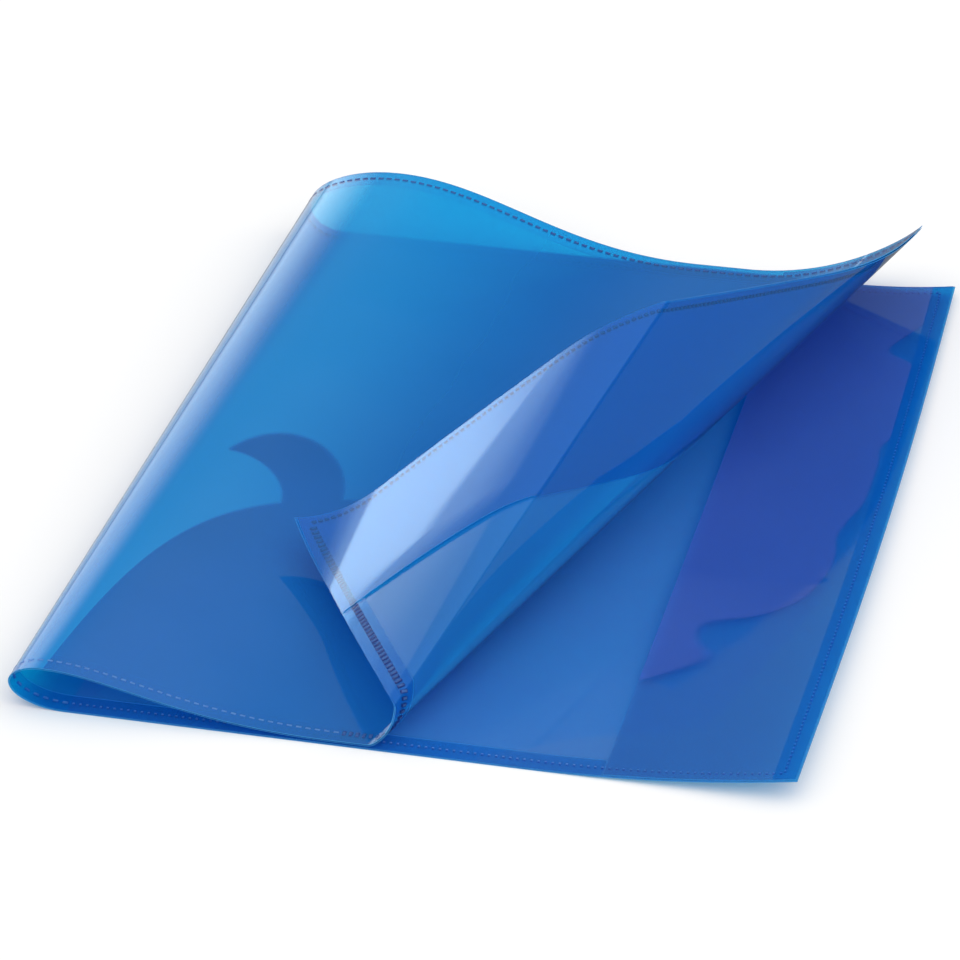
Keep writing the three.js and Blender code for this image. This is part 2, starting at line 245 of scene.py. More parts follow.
backVinyl = filmMaterial("clear_blue_vinyl_back",
                         filmLook["coverTint"], filmLook["backBloomAndSheen"], filmLook["coverShare"])
# the front film, and the spine film that shares it, carry the painted shade and glow
frontVinyl = filmMaterial("clear_blue_vinyl_front",
                          filmLook["coverTint"], filmLook["coverBloom"], filmLook["coverShare"], paintsShadeAndGlow=True)
pocketVinyl = filmMaterial("clear_blue_vinyl_pocket",
                           filmLook["pocketTint"], filmLook["pocketBloom"], filmLook["pocketShare"])
clingVinyl = filmMaterial("clear_blue_vinyl_clinging",
                          filmLook["pocketTint"], filmLook["clingBloom"], filmLook["pocketShare"], clings=True)
hemVinyl = filmMaterial("clear_blue_vinyl_hem", filmLook["hemTint"], filmLook["coverBloom"],
                        filmLook["hemShare"], mirror=filmLook["fusedMirror"])
fusedVinyl = filmMaterial("clear_blue_vinyl_fused", filmLook["fusedTint"], filmLook["coverBloom"],
                          filmLook["fusedShare"], mirror=filmLook["fusedMirror"])

# The film's cut edge gathers light, so it shows as a thin pale line
edgeVinyl, edgeTree = newMaterial("cut_vinyl_edge")
edgeShine = addNode(edgeTree, "ShaderNodeBsdfPrincipled",
                    values=[("Base Color", colour(filmLook["cutEdge"])),
                            ("Roughness", filmLook["cutRoughness"]), ("IOR", filmLook["ior"])])
addNode(edgeTree, "ShaderNodeOutputMaterial", [("Surface", edgeShine.outputs[0])])

# Where one film is modelled in two pieces, nothing is cut, so the wall between them is clear
joinVinyl, joinTree = newMaterial("uncut_vinyl_join")
joinClear = addNode(joinTree, "ShaderNodeBsdfTransparent", values=[("Color", colour("#ffffff"))])
addNode(joinTree, "ShaderNodeOutputMaterial", [("Surface", joinClear.outputs[0])])

# A weld pad is pressed by a toothed wheel: its floor is whitened by the pressure, its walls are painted
# dark as shade at the pad's edges, and both are paler along the near edge and round the back.
# Tint, bloom, share of the bloom and roughness.
weldLook = {
    # the wall colours are painted shade at the pads' edges
    "face": ("#5fb0e6", "#4a7fc8", 0.5, 0.5), "wall": ("#2458a8", "#223488", 0.8, 0.5),
    "paleFace": ("#86cdf4", "#74b4ec", 0.42, 0.4), "paleWall": ("#6db9ee", "#6fa8e6", 0.4, 0.4),
    "grainScale": 900.0,   # about 1 mm, the size of a pad
    "unevenShare": (0.6, 1.4),
}


def weldMaterial(name, tint, bloom, share, roughness):
    material, tree = newMaterial(name)
    place = addNode(tree, "ShaderNodeTexCoord")
    grain = addNode(tree, "ShaderNodeTexNoise", [("Vector", place.outputs["Object"])],
                    [("Scale", weldLook["grainScale"])])
    spread = between(tree, grain.outputs["Fac"], wholeRange,
                     [min(1.0, share * uneven) for uneven in weldLook["unevenShare"]], "LINEAR")
    clear = addNode(tree, "ShaderNodeBsdfTransparent", values=[("Color", colour(tint))])
    solid = addNode(tree, "ShaderNodeBsdfPrincipled",
                    values=[("Base Color", colour(bloom)), ("Roughness", roughness), ("IOR", filmLook["ior"])])
    body = addNode(tree, "ShaderNodeMixShader", [(0, spread), (1, clear.outputs[0]), (2, solid.outputs[0])])
    addNode(tree, "ShaderNodeOutputMaterial", [("Surface", body.outputs[0])])
    return material


weldMaterials = [
    weldMaterial("whitened_weld", *weldLook["face"]), weldMaterial("weld_wall", *weldLook["wall"]),
    weldMaterial("pale_weld", *weldLook["paleFace"]), weldMaterial("pale_weld_wall", *weldLook["paleWall"]),
]
print("materials made")


# The sheet's shape. Lines run from the near edge to the far one, in turn from the back's outer edge
# round the spine to the front's outer edge, and each point has the direction of the jacket's inside.
backShape = {"nearLift": 6.9, "farLift": 3.0, "nearLiftLength": 76.0, "farLiftLength": 36.0,
             "edgeBow": 2.3, "bowPower": 3,   # the outer edge bows outwards, the rest hardly
             "probe": 0.5}


def backSpot(x, y):
    s = y / sheetHeight
    lift = mix(backShape["nearLift"], backShape["farLift"], s)
    length = mix(backShape["nearLiftLength"], backShape["farLiftLength"], s)
    beyond = np.maximum(0, x - (jacket["backReach"] - length)) / length
    outwards = np.clip(x / jacket["backReach"], 0, 1) ** backShape["bowPower"]
    bow = backShape["edgeBow"] * np.sin(np.pi * np.clip(s, 0, 1)) * outwards
    return np.stack([x + bow, y, jacket["film"] / 2 + lift * beyond ** 2], axis=-1)


def backSurface(x, y):
    x, y = np.broadcast_arrays(np.asarray(x, float), np.asarray(y, float))
    probe = backShape["probe"]
    across = backSpot(x + probe, y) - backSpot(x - probe, y)
    along = backSpot(x, y + probe) - backSpot(x, y - probe)
    return backSpot(x, y), unit(np.cross(across, along))


# The spine's two end curves: where they leave the back, their leftmost place and its height, and the crest
spineShape = {
    "near": {"foot": 8.0, "left": -8.5, "middle": 8.0, "crest": 1.0, "top": 13.6},
    "far": {"foot": 10.0, "left": -1.2, "middle": 8.8, "crest": 29.0, "top": 24.0},
    "quarterRound": 0.55, "skew": 0.3, "slopeLean": 8.6, "slopeStart": 86.0,
    "nearHandles": (21.0, 46.0), "farHandles": (33.0, 46.0),
    "upperStart": 20.0, "middleFoot": 9.0, "spineSteps": 14, "slopeSteps": 48,
}


def endPoint(end, x, z):
    return np.array([x, end * sheetHeight + x * math.tan(math.radians(spineShape["skew"])), z])


def slopeEnd(along):
    return spineShape["slopeStart"] + along * math.tan(math.radians(spineShape["slopeLean"]))


lyingPanel = np.array(Matrix.Translation((0, 0, lyingHeight))
                      @ Matrix.Rotation(math.radians(spineShape["skew"]), 4, "Z"))


def onPanel(across, along):
    return (lyingPanel @ [across, along, 0, 1])[:3]


def endCurves(end):
    spine = spineShape["far" if end else "near"]
    handles = spineShape["farHandles" if end else "nearHandles"]
    y = end * sheetHeight
    low = jacket["film"] / 2
    q = spineShape["quarterRound"]
    lower = [[spine["foot"], y, low], [mix(spine["foot"], spine["left"], q), y, low],
             [spine["left"], y, mix(spine["middle"], low, q)], [spine["left"], y, spine["middle"]]]
    upper = [endPoint(end, spine["left"], spine["middle"]),
             endPoint(end, spine["left"], mix(spine["middle"], spine["top"], q)),
             endPoint(end, mix(spine["crest"], spine["left"], q), spine["top"]),
             endPoint(end, spine["crest"], spine["top"])]
    slope = [endPoint(end, spine["crest"], spine["top"]),
             endPoint(end, spine["crest"] + handles[0], spine["top"]),
             onPanel(slopeEnd(y) - handles[1], y), onPanel(slopeEnd(y), y)]
    return [np.array(c, float) for c in (lower, upper, slope)]


nearCurves, farCurves = endCurves(0), endCurves(1)


def bezier(curve, t):
    t = np.asarray(t, float)[..., None]
    a, b, c, d = curve
    point = a * (1 - t) ** 3 + 3 * b * t * (1 - t) ** 2 + 3 * c * t ** 2 * (1 - t) + d * t ** 3
    tangent = 3 * ((b - a) * (1 - t) ** 2 + 2 * (c - b) * t * (1 - t) + (d - c) * t ** 2)
    return point, tangent


# Lines over one curve: t goes along the curve, s from the near end to the far one
def curveSurface(which, t, s):
    t, s = np.broadcast_arrays(np.asarray(t, float), np.asarray(s, float))
    nearPoint, nearTangent = bezier(nearCurves[which], t)
    farPoint, farTangent = bezier(farCurves[which], t)
    w = s[..., None]
    along = farPoint - nearPoint
    return mix(nearPoint, farPoint, w), unit(np.cross(along, mix(unit(nearTangent), unit(farTangent), w)))


# The rolled corner turns over along straight lines that fan out from the near edge. Each zone has its
# start there, counted from the slope's end, its lean from the spine, and its turn up to the next zone.
rollShape = {
    "zones": [(9, 10, 36), (11, 19, 61), (24, 25.5, 10), (24.5, 37.5, 60), (25.5, 38, 24),
              (28.5, 42.5, 13), (71, 30.5, 3), (89, 51, -31), (103.5, 60.5, -27), (125, 64, 0)],
    "turnPerLine": 2.5, "fewestLines": 3,
    "search": (-900.0, 3000.0), "halvings": 60,   # places in the fan, from far before it to far beyond
    "cornerRoom": 0.15, "flatCornerRoom": 0.5, "flatPitchBefore": 4, "flatPitchBeyond": 3,
}


def fanLines():
    starts, leans, turns = [], [], []
    zones = rollShape["zones"]
    for (start, lean, turn), (nextStart, nextLean, _) in zip(zones, zones[1:]):
        count = max(rollShape["fewestLines"], math.ceil(abs(turn) / rollShape["turnPerLine"]))
        for j in range(count):
            w = (j + 0.5) / count
            starts.append(spineShape["slopeStart"] + mix(start, nextStart, w))
            leans.append(math.radians(mix(lean, nextLean, w)))
            turns.append(math.radians(turn) / count)
    facets = [Matrix(lyingPanel.tolist())]
    for start, lean, turn in zip(starts, leans, turns):
        bend = Matrix.Rotation(-turn, 4, Vector((math.sin(lean), math.cos(lean), 0)))
        there, back = Matrix.Translation((start, 0, 0)), Matrix.Translation((-start, 0, 0))
        facets.append(facets[-1] @ there @ bend @ back)
    return np.array(starts), np.array(leans), np.array([np.array(m) for m in facets])


fanStarts, fanLeans, fanFacets = fanLines()
lastFan = len(fanStarts) - 1


# Where the line at a place in the fan starts, and its lean
def fanLine(place):
    inner = np.clip(place, 0, lastFan)
    steps = np.arange(lastFan + 1)
    return np.interp(inner, steps, fanStarts) + (place - inner), np.interp(inner, steps, fanLeans)


# The place in the fan whose line runs through a point of the flat sheet
def fanPlace(across, along):
    across, along = np.broadcast_arrays(np.asarray(across, float), np.asarray(along, float))
    low = np.full(across.shape, rollShape["search"][0])
    high = np.full(across.shape, lastFan + rollShape["search"][1])
    for _ in range(rollShape["halvings"]):
        middle = (low + high) / 2
        start, lean = fanLine(middle)
        beyond = (across - start) * np.cos(lean) - along * np.sin(lean) > 0
        low = np.where(beyond, middle, low)
        high = np.where(beyond, high, middle)
    return (low + high) / 2


# Between two lines the film bends evenly, so its normal turns with the place in the fan
def foldedSurface(across, along, place=None):
    across, along = np.broadcast_arrays(np.asarray(across, float), np.asarray(along, float))
    place = fanPlace(across, along) if place is None else place
    facet = fanFacets[np.clip(np.ceil(place - tiny), 0, lastFan + 1).astype(int)]
    flat = np.stack([across, along, np.zeros_like(across), np.ones_like(across)], axis=-1)
    point = np.einsum("...ij,...j->...i", facet, flat)[..., :3]
    ups = fanFacets[:, :3, 2]
    turned = np.clip(place + 0.5, 0, lastFan + 1)
    low = np.floor(turned).astype(int)
    high = np.minimum(low + 1, lastFan + 1)
    w = (turned - low)[..., None]
    return point, -unit(ups[low] * (1 - w) + ups[high] * w)


# Lines of the fan over a four-sided outline, each clipped to it
def foldedGrid(outline, steps, fromSlope):
    corners = [float(fanPlace(*corner)) for corner in outline]
    first = corners[0] if fromSlope else min(corners)
    last = max(corners)
    places = {c for c in corners if c >= first}
    before, beyond = rollShape["flatPitchBefore"], rollShape["flatPitchBeyond"]
    stretches = ((range(max(0, math.ceil(first)), int(min(last, lastFan)) + 1), rollShape["cornerRoom"]),
                 (np.arange(math.ceil(first), 0, before), rollShape["flatCornerRoom"]),
                 (np.arange(lastFan + beyond, last, beyond), rollShape["flatCornerRoom"]))
    for stretch, clearance in stretches:
        places |= {float(p) for p in stretch if all(abs(c - p) > clearance for c in corners)}
    flats = []
    for place in sorted(places):
        start, lean = fanLine(np.float64(place))
        heading = np.array([math.sin(lean), math.cos(lean)])
        low, high = -math.inf, math.inf
        for (x0, y0), (x1, y1) in zip(outline, outline[1:] + outline[:1]):
            outward = np.array([y1 - y0, x0 - x1])
            speed = outward @ heading
            room = outward @ np.array([x0 - start, y0])
            if speed > tiny:
                high = min(high, room / speed)
            elif speed < -tiny:
                low = max(low, room / speed)
        if low >= high:
            low = high = (low + high) / 2
        w = np.linspace(low, high, steps + 1)[:, None]
        flats.append(np.array([start, 0]) + w * heading)
    flat = np.array(flats)
    place = np.array(sorted(places))[:, None] + np.zeros(steps + 1)
    point, inside = foldedSurface(flat[..., 0], flat[..., 1], place)
    return point, inside, flat


# A film: a grid of its middle is given thickness both ways, with a rim where it was cut
def addFilm(name, point, inside, flat, thickness, material, joins=()):
    rows, columns = point.shape[:2]
    _, kept, number = np.unique(np.round(point.reshape(-1, 3), 3), axis=0,
                                return_index=True, return_inverse=True)
    number = number.reshape(rows, columns)
    middle, toInside = point.reshape(-1, 3)[kept], inside.reshape(-1, 3)[kept]
    uv = flat.reshape(-1, 2)[kept] / perMetre
    count = len(middle)
    faces = []
    for i in range(rows - 1):
        for j in range(columns - 1):
            ring = [number[i, j], number[i, j + 1], number[i + 1, j + 1], number[i + 1, j]]
            ring = [v for k, v in enumerate(ring) if v != ring[k - 1]]
            if len(set(ring)) == len(ring) and len(ring) > 2:
                faces.append([int(v) for v in ring])
    normal = np.zeros((count, 3))
    for ring in faces:
        a, b, c, d = (middle[v] for v in (ring + ring[-1:])[:4])
        normal[ring] += np.cross(c - a, d - b)
    length = np.linalg.norm(normal, axis=1, keepdims=True)
    normal = np.where(length > tiny, normal / np.maximum(length, tiny), toInside)
    edges = {"near": number[:, 0], "far": number[:, -1], "start": number[0], "end": number[-1]}
    for side in joins:
        normal[edges[side]] = toInside[edges[side]]
    top, bottom = middle + normal * thickness / 2, middle - normal * thickness / 2
    rims, rimKinds = [], []
    for side, edge in edges.items():
        for p, q in zip(edge[:-1].tolist(), edge[1:].tolist()):
            if p != q:
                ring = [p + count, q + count, q, p]
                rims.append(ring[::-1] if side in ("near", "end") else ring)
                rimKinds.append(2 if side in joins else 1)
    everyFace = faces + [[v + count for v in reversed(ring)] for ring in faces] + rims
    mesh = bpy.data.meshes.new(name)
    mesh.from_pydata(inMetres(np.vstack([top, bottom])).tolist(), [], everyFace)
    layer = mesh.uv_layers.new(name="flat_film")
    loopVertex = np.empty(len(mesh.loops), int)
    mesh.loops.foreach_get("vertex_index", loopVertex)
    layer.data.foreach_set("uv", uv[loopVertex % count].ravel())
    for look in (material, edgeVinyl, joinVinyl):   # of the kinds 0, 1 and 2
        mesh.materials.append(look)
    filmFaces = 2 * len(faces)
    mesh.polygons.foreach_set("material_index", [0] * filmFaces + rimKinds)
    mesh.polygons.foreach_set("use_smooth", [True] * len(everyFace))
    loopNormal = np.vstack([normal, -normal])[loopVertex]
    if rims:
        firstRim = mesh.polygons[filmFaces].loop_start
        rimNormals = np.empty(3 * len(mesh.polygons))
        mesh.polygons.foreach_get("normal", rimNormals)
        loopNormal[firstRim:] = np.repeat(rimNormals.reshape(-1, 3)[filmFaces:], 4, axis=0)
    mesh.normals_split_custom_set(loopNormal.tolist())
    piece = bpy.data.objects.new(name, mesh)
    bpy.context.scene.collection.objects.link(piece)
    return piece


def footAt(y):
    return mix(spineShape["near"]["foot"], spineShape["far"]["foot"], y / sheetHeight)


# A stretch of the back panel, as lines from the outer distance to the inner one
def backGrid(fromX, toX, ys, pitch=jacket["meshPitch"]):
    usualEnd = spineShape["middleFoot"] if toX is footAt else toX
    count = max(1, math.ceil(abs(fromX - usualEnd) / pitch))
    y = np.asarray(ys, float)[None, :]
    inner = footAt(y) if toX is footAt else np.full_like(y, toX)
    x = mix(np.full_like(inner, fromX), inner, np.linspace(0, 1, count + 1)[:, None])
    y = y + np.zeros_like(x)
    point, inside = backSurface(x, y)
    return point, inside, np.stack([x, y], axis=-1)


def curveGrid(which, ts, ys, flatStart):
    t, y = np.meshgrid(ts, ys, indexing="ij")
    point, inside = curveSurface(which, t, y / sheetHeight)
    steps = np.linalg.norm(np.diff(point, axis=0), axis=-1)
    across = flatStart + np.vstack([np.zeros((1, steps.shape[1])), np.cumsum(steps, axis=0)])
    return point, inside, np.stack([across, y], axis=-1)


# Grids that follow one another and share a line, as one
def joined(*grids):
    parts = [grids[0]] + [tuple(a[1:] for a in g) for g in grids[1:]]
    return tuple(np.concatenate(arrays) for arrays in zip(*parts))


def offsetBy(grid, distance):
    point, inside, flat = grid
    return point + inside * np.broadcast_to(distance, point.shape[:2])[..., None], inside, flat


def ySteps(start, end, pitch=jacket["meshPitch"]):
    return np.linspace(start, end, max(1, math.ceil(abs(end - start) / pitch)) + 1)


# The outer sheet in three pieces: back, spine and front
wholeLength = ySteps(0, sheetHeight)
spineT = np.linspace(0, 1, spineShape["spineSteps"] + 1)
slopeT = np.linspace(0, 1, spineShape["slopeSteps"] + 1)
backFilm = addFilm("back_film", *backGrid(jacket["backReach"], footAt, wholeLength),
                   jacket["film"], backVinyl, ("end",))


# Its flat distances run up to zero where the front film starts
def spineGrid(ys):
    lower, upper = curveGrid(0, spineT, ys, 0), curveGrid(1, spineT, ys, spineShape["upperStart"])
    point, inside, flat = joined(lower, upper)
    flat[..., 0] -= flat[-1:, :, 0]
    return point, inside, flat


spineFilm = addFilm("spine_film", *spineGrid(wholeLength), jacket["film"], frontVinyl, ("start", "end"))


def frontOutline(fromAcross, toAcross, nearSide, farSide):
    first = fromAcross if callable(fromAcross) else (lambda along: fromAcross)
    return [(first(nearSide), nearSide), (toAcross, nearSide), (toAcross, farSide), (first(farSide), farSide)]


def frontGrid(toAcross, nearSide, farSide, pitch=jacket["meshPitch"]):
    ys = ySteps(nearSide, farSide, pitch)
    slope = curveGrid(2, slopeT, ys, 0)
    panel = foldedGrid(frontOutline(slopeEnd, toAcross, nearSide, farSide), len(ys) - 1, True)
    return tuple(np.concatenate(arrays) for arrays in zip(slope, panel))


frontFilm = addFilm("front_film", *frontGrid(jacket["frontReach"], 0, sheetHeight),
                    jacket["film"], frontVinyl, ("start",))
print("sheet made")

# Hem strips along the near and far edges, between the two pockets
hem = {"width": 8.0, "toPocket": 0.5}
pocket = {"backWidth": 54.0, "frontWidth": 50.0, "inset": 0.5, "backBulge": 3.0, "frontBulge": 1.2,
          "frontSwellLength": 90.0, "curlLength": 8.0, "curlDrop": 0.7,   # its mouth dips towards the cover
          "hingeInset": 7.0, "split": 111.0,   # the lip turns beside the outer weld; the film is in two pieces
          "linePoints": 76}
backMouth = jacket["backReach"] - pocket["backWidth"]
frontMouth = jacket["frontReach"] - pocket["frontWidth"]
hemOffset = insideOffset + jacket["hemFilm"] / 2
hemPieces = {}
for side, start, end in (("near", 0.0, hem["width"]), ("far", sheetHeight - hem["width"], sheetHeight)):
    ys = ySteps(start, end)
    flatPart = offsetBy(backGrid(backMouth - hem["toPocket"], footAt, ys), hemOffset)
    roundPart = offsetBy(spineGrid(ys), hemOffset)
    frontPart = offsetBy(frontGrid(frontMouth - hem["toPocket"], start, end), hemOffset)
    hemPieces[side] = (
        addFilm(f"back_hem_film_{side}", *flatPart, jacket["hemFilm"], hemVinyl, ("end",)),
        addFilm(f"spine_hem_film_{side}", *roundPart, jacket["hemFilm"], hemVinyl, ("start", "end")),
        addFilm(f"front_hem_film_{side}", *frontPart, jacket["hemFilm"], hemVinyl, ("start",)),
    )
print("hems made")

pocketOffset = insideOffset + jacket["pocketFilm"] / 2
hingeX = jacket["backReach"] - pocket["hingeInset"]


# The pocket stands off the cover most at the middle of its mouth
def backStandOff(flat):
    fromWeld = np.clip((hingeX - flat[..., 0]) / (hingeX - backMouth), 0, 1)
    along = np.clip(flat[..., 1] / sheetHeight, 0, 1)
    return pocketOffset + pocket["backBulge"] * np.sin(np.pi * along) * fromWeld ** 2


def backPocketPart(name, fromX, toX, start, end, joins, material=clingVinyl):
    pitch = jacket["pocketPitch"]
    grid = backGrid(fromX, toX, ySteps(start, end, pitch), pitch)
    return addFilm(name, *offsetBy(grid, backStandOff(grid[2])), jacket["pocketFilm"], material, joins)


edgeY = (pocket["inset"], sheetHeight - pocket["inset"])
backPocketNear = backPocketPart("back_pocket_film_near", hingeX, backMouth,
                                edgeY[0], pocket["split"], ("start", "far"))
backPocketFar = backPocketPart("back_pocket_film_far", hingeX, backMouth,
                               pocket["split"], edgeY[1], ("start", "near"))
backPocketBand = backPocketPart("back_pocket_weld_band", jacket["backReach"] - pocket["inset"], hingeX,
                                *edgeY, ("end",), fusedVinyl)


# The front pocket swells a little near its near end, and its mouth dips
def frontStandOff(flat):
    outer = jacket["frontReach"] - pocket["inset"]
    fromWeld = (outer - flat[..., 0]) / (outer - frontMouth)
    along = np.clip(flat[..., 1] / pocket["frontSwellLength"], 0, 1)
    curl = np.clip(1 - (flat[..., 0] - frontMouth) / pocket["curlLength"], 0, 1) ** 2
    swell = pocket["frontBulge"] * fromWeld ** 2 - pocket["curlDrop"] * curl
    return pocketOffset + np.sin(np.pi * along) * swell


pocketOutline = frontOutline(frontMouth, jacket["frontReach"] - pocket["inset"], *edgeY)
pocketGrid = foldedGrid(pocketOutline, pocket["linePoints"], False)
frontPocket = addFilm("front_pocket_film", *offsetBy(pocketGrid, frontStandOff(pocketGrid[2])),
                      jacket["pocketFilm"], pocketVinyl)
print("pockets made")

# The weld: a row of small pads, each pressed through the films
weld = {
    "rise": 0.05, "shrink": 0.72, "bevel": 0.06, "probe": 0.3,
    "dash": {"pitch": 2.7, "long": 1.7, "wide": 1.0},   # along the far edge of spine and front
    "nearDash": {"pitch": 2.7, "long": 1.6, "wide": 0.8},   # along their near edge, up to the slope's end
    "rung": {"pitch": 1.9, "long": 0.95, "wide": 2.1},   # along the rest of the front's near edge
    "stitch": {"pitch": 2.0, "long": 1.2, "wide": 0.9},   # along its outer edge
    "dot": {"pitch": 2.0, "long": 0.7, "wide": 0.6},   # round the back
    "pale": ("dot", "nearDash"),
    "backPoints": 120, "backOuterPoints": 160, "frontPoints": 400, "frontOuterPoints": 600,
}
quad = ((-1, -1), (1, -1), (1, 1), (-1, 1))


# Where the pads of a seam lie: centre, the inside's direction and the way ahead
def seamSpots(point, inside, pitch):
    lengths = np.concatenate([[0], np.cumsum(np.linalg.norm(np.diff(point, axis=0), axis=1))])
    count = max(1, int(lengths[-1] // pitch))
    at = (np.arange(count) + 0.5) * lengths[-1] / count

    def along(line, places):
        return np.stack([np.interp(places, lengths, line[:, k]) for k in range(3)], axis=1)

    up = unit(along(inside, at))
    ahead = along(point, at + weld["probe"]) - along(point, at - weld["probe"])
    ahead = unit(ahead - up * np.sum(ahead * up, axis=1, keepdims=True))
    return along(point, at), up, ahead


def addWelds(name, seams, stack):
    vertices, faces, kinds = [], [], []
    corners = len(quad)
    low, high = -jacket["film"] / 2 - weld["rise"], stack + weld["rise"]
    rings = ((low, weld["shrink"]), (low + weld["bevel"], 1), (high - weld["bevel"], 1), (high, weld["shrink"]))
    for style, (point, inside) in seams:
        pad = weld[style]
        faceKind, wallKind = (2, 3) if style in weld["pale"] else (0, 1)
        for centre, up, ahead in zip(*seamSpots(point, inside, pad["pitch"])):
            side = np.cross(up, ahead)
            base = len(vertices)
            for height, size in rings:
                for a, b in quad:
                    flat = ahead * a * size * pad["long"] / 2 + side * b * size * pad["wide"] / 2
                    vertices.append(centre + up * height + flat)
            faces.append([base + k for k in reversed(range(corners))])
            faces.append([base + corners * (len(rings) - 1) + k for k in range(corners)])
            kinds += [faceKind, faceKind]
            for ring in range(len(rings) - 1):
                start = base + corners * ring
                for k in range(corners):
                    n = (k + 1) % corners
                    faces.append([start + k, start + n, start + corners + n, start + corners + k])
                    kinds.append(wallKind)
    mesh = bpy.data.meshes.new(name)
    mesh.from_pydata(inMetres(vertices).tolist(), [], faces)
    for material in weldMaterials:
        mesh.materials.append(material)
    mesh.polygons.foreach_set("material_index", kinds)
    piece = bpy.data.objects.new(name, mesh)
    bpy.context.scene.collection.objects.link(piece)
    return piece


inset = jacket["sealInset"]
sealY = (inset, sheetHeight - inset)
weldStack = insideOffset + jacket["pocketFilm"] / 2
backSeams, spineSeams, frontSeams = [], [], []
for y, slopeStyle, panelStyle in zip(sealY, ("nearDash", "dash"), ("rung", "dash")):
    backX = np.linspace(jacket["backReach"] - inset, footAt(y), weld["backPoints"])
    backSeams.append(("dot", backSurface(backX, y)))
    point, inside, _ = spineGrid([y])
    spineSeams.append((slopeStyle, (point[:, 0], inside[:, 0])))
    point, inside, _ = curveGrid(2, slopeT, [y], 0)
    frontSeams.append((slopeStyle, (point[:, 0], inside[:, 0])))
    panelAcross = np.linspace(slopeEnd(y), jacket["frontReach"] - inset, weld["frontPoints"])
    frontSeams.append((panelStyle, foldedSurface(panelAcross, y)))
backOuterY = np.linspace(*sealY, weld["backOuterPoints"])
backSeams.append(("dot", backSurface(jacket["backReach"] - inset, backOuterY)))
frontOuterY = np.linspace(*sealY, weld["frontOuterPoints"])
frontSeams.append(("stitch", foldedSurface(jacket["frontReach"] - jacket["flapInset"], frontOuterY)))
backWelds = addWelds("back_weld_pads", backSeams, weldStack)
spineWelds = addWelds("spine_weld_pads", spineSeams, weldStack)
frontWelds = addWelds("front_weld_pads", frontSeams, weldStack)
print("welds made")

# What moves with what
for piece in (backFilm, backPocketBand, backWelds, hemPieces["near"][0], hemPieces["far"][0]):
    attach(piece, "back")
for piece in (frontFilm, frontPocket, frontWelds, hemPieces["near"][2], hemPieces["far"][2]):
    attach(piece, "front")
for piece in (spineFilm, spineWelds, hemPieces["near"][1], hemPieces["far"][1]):
    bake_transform(piece)
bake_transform(backPocketNear)
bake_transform(backPocketFar)
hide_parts("back_cover")
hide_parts("back_cover", "front_cover")
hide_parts("front_cover")
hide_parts("front_pocket")
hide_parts("back_pocket")
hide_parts("back_pocket", "back_pocket_lip")
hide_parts("back_pocket", "back_pocket_lip")
for side, (flatPart, roundPart, frontPart) in hemPieces.items():
    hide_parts(f"back_hem_{side}")
    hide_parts(f"back_hem_{side}", f"front_hem_{side}")
    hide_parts(f"front_hem_{side}")
print("pieces placed")

# Camera as the photograph was taken, from a distance with a long lens
view = {"lens": 180.04, "sensor": 36, "elevation": 29.9, "azimuth": 13.1, "roll": -0.2,
        "target": (0.0121, 0.0007, 0.0), "distance": 1.462, "farthest": 20}
elevation, azimuth, roll = (math.radians(view[k]) for k in ("elevation", "azimuth", "roll"))
level = math.cos(elevation)
away = Vector((math.sin(azimuth) * level, -math.cos(azimuth) * level, math.sin(elevation)))
levelRight = Vector((math.cos(azimuth), math.sin(azimuth), 0))
levelUp = away.cross(levelRight)
right = levelRight * math.cos(roll) + levelUp * math.sin(roll)
up = levelUp * math.cos(roll) - levelRight * math.sin(roll)
stand = Vector(view["target"]) + away * view["distance"]
cameraData = bpy.data.cameras.new("photo_camera")
cameraData.lens = view["lens"]
cameraData.sensor_width = view["sensor"]
cameraData.clip_end = view["farthest"]
camera = bpy.data.objects.new("photo_camera", cameraData)
bpy.context.scene.collection.objects.link(camera)
rows = [(*row, place) for row, place in zip(zip(right, up, away), stand)]
camera.matrix_world = Matrix(rows + [(0, 0, 0, 1)])
bpy.context.scene.camera = camera

# Floor of white paper: white to the camera, where it keeps the shadows, and a grey table to everything
# else, with a white card to the left of the spine for its film to mirror
floorLook = {"size": 8, "drop": 0.00006, "paper": "#fbfbfb", "table": "#8a8a8a", "cardEdge": (-0.11, -0.085)}
bpy.ops.object.select_all(action="DESELECT")
bpy.ops.mesh.primitive_plane_add(size=floorLook["size"], location=(0, 0, -floorLook["drop"]))
floor = bpy.context.active_object
floor.name = "floor"
paper, paperTree = newMaterial("white_paper")
table = addNode(paperTree, "ShaderNodeBsdfDiffuse", values=[("Color", colour(floorLook["table"]))])
sweep = addNode(paperTree, "ShaderNodeBsdfDiffuse", values=[("Color", colour(floorLook["paper"]))])
paperPath = addNode(paperTree, "ShaderNodeLightPath")
paperPlace = addNode(paperTree, "ShaderNodeTexCoord")
paperSides = addNode(paperTree, "ShaderNodeSeparateXYZ", [(0, paperPlace.outputs["Object"])])
card = between(paperTree, paperSides.outputs["X"], floorLook["cardEdge"], falling, "LINEAR")
onCard = maths(paperTree, "MULTIPLY", card, paperPath.outputs["Is Glossy Ray"])
tableOrCard = addNode(paperTree, "ShaderNodeMixShader",
                      [(0, onCard), (1, table.outputs[0]), (2, sweep.outputs[0])])
seenByCamera = paperPath.outputs["Is Camera Ray"]
paperFace = addNode(paperTree, "ShaderNodeMixShader",
                    [(0, seenByCamera), (1, tableOrCard.outputs[0]), (2, sweep.outputs[0])])
addNode(paperTree, "ShaderNodeOutputMaterial", [("Surface", paperFace.outputs[0])])
floor.data.materials.append(paper)

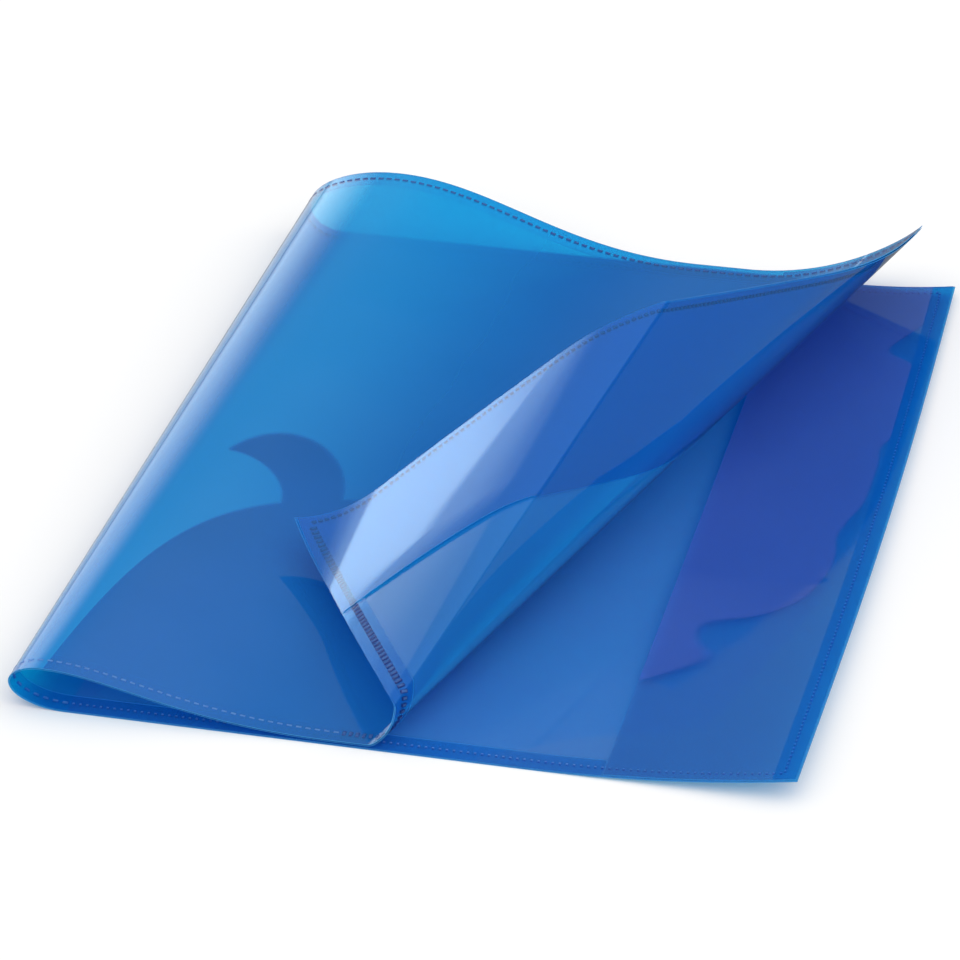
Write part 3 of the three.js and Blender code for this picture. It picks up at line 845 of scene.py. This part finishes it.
# Studio: a tent of light, brighter towards the front right, and what the films mirror: a tall softbox
# at the back left with a bounce round it, the room and its ceiling. Bearings are in degrees from
# straight behind the jacket, to the left where negative.
studio = {
    "tent": (0.6, 1.42), "tentToward": (0.6, -0.75, 0.28), "tentEdge": (-0.7, 0.8),
    "softbox": 3.5, "leftEdge": (-70.0, -62.0), "rightEdge": (-42.0, -36.0),
    "lowEdge": (-2.0, 6.0), "highEdge": (16.5, 21.5),
    "bounce": 1.7, "bounceEdge": (-32.0, -18.0), "bounceHigh": (24.0, 52.0),
    "room": 0.2, "roomEdge": (-14.0, 8.0), "roomFloor": 0.06,
    "ceiling": 0.5, "ceilingEdge": (35.0, 43.0),
    "white": "#ffffff",
}
world = bpy.data.worlds.new("studio")
bpy.context.scene.world = world
world.use_nodes = True
sky = world.node_tree
sky.nodes.clear()
direction = addNode(sky, "ShaderNodeTexCoord").outputs["Generated"]
parts = addNode(sky, "ShaderNodeSeparateXYZ", [(0, direction)])
bearing = maths(sky, "ARCTAN2", parts.outputs["X"], parts.outputs["Y"])
height = maths(sky, "ARCSINE", parts.outputs["Z"])


def skyRamp(source, name, levels=rising):
    return between(sky, source, [math.radians(edge) for edge in studio[name]], levels)


def addTo(total, factors, strength):
    factor = factors[0]
    for another in factors[1:]:
        factor = maths(sky, "MULTIPLY", factor, another)
    return maths(sky, "MULTIPLY_ADD", factor, strength, total)


def light(strength):
    return addNode(sky, "ShaderNodeBackground", [("Strength", strength)],
                   [("Color", colour(studio["white"]))]).outputs[0]


leftAndUp = [skyRamp(bearing, "leftEdge"), skyRamp(height, "lowEdge")]
mirrored = addNode(sky, "ShaderNodeValue").outputs[0]
mirrored.default_value = studio["roomFloor"]
inRoom = [skyRamp(bearing, "roomEdge", falling), skyRamp(height, "ceilingEdge", falling)]
onBounce = leftAndUp + [skyRamp(height, "bounceHigh", falling), skyRamp(bearing, "bounceEdge", falling)]
onSoftbox = leftAndUp + [skyRamp(height, "highEdge", falling), skyRamp(bearing, "rightEdge", falling)]
mirrored = addTo(mirrored, inRoom, studio["room"])
mirrored = addTo(mirrored, onBounce, studio["bounce"])
mirrored = addTo(mirrored, onSoftbox, studio["softbox"] - studio["bounce"])
mirrored = addTo(mirrored, [skyRamp(height, "ceilingEdge")], studio["ceiling"])
toward = addNode(sky, "ShaderNodeVectorMath", [(0, direction)],
                 [(1, studio["tentToward"])], operation="DOT_PRODUCT")
tentLevel = between(sky, toward.outputs["Value"], studio["tentEdge"], studio["tent"])
backdrop = addNode(sky, "ShaderNodeBackground", values=[("Color", colour(studio["white"])), ("Strength", 1.0)])
path = addNode(sky, "ShaderNodeLightPath")
lights = addNode(sky, "ShaderNodeMixShader",
                 [(0, path.outputs["Is Glossy Ray"]), (1, light(tentLevel)), (2, light(mirrored))])
seen = addNode(sky, "ShaderNodeMixShader",
               [(0, path.outputs["Is Camera Ray"]), (1, lights.outputs[0]), (2, backdrop.outputs[0])])
addNode(sky, "ShaderNodeOutputWorld", [("Surface", seen.outputs[0])])

scene = bpy.context.scene
scene.view_settings.view_transform = "Standard"
scene.cycles.transparent_max_bounces = 48   # a ray crosses two faces for every film
scene.cycles.max_bounces = 16
print("studio made")
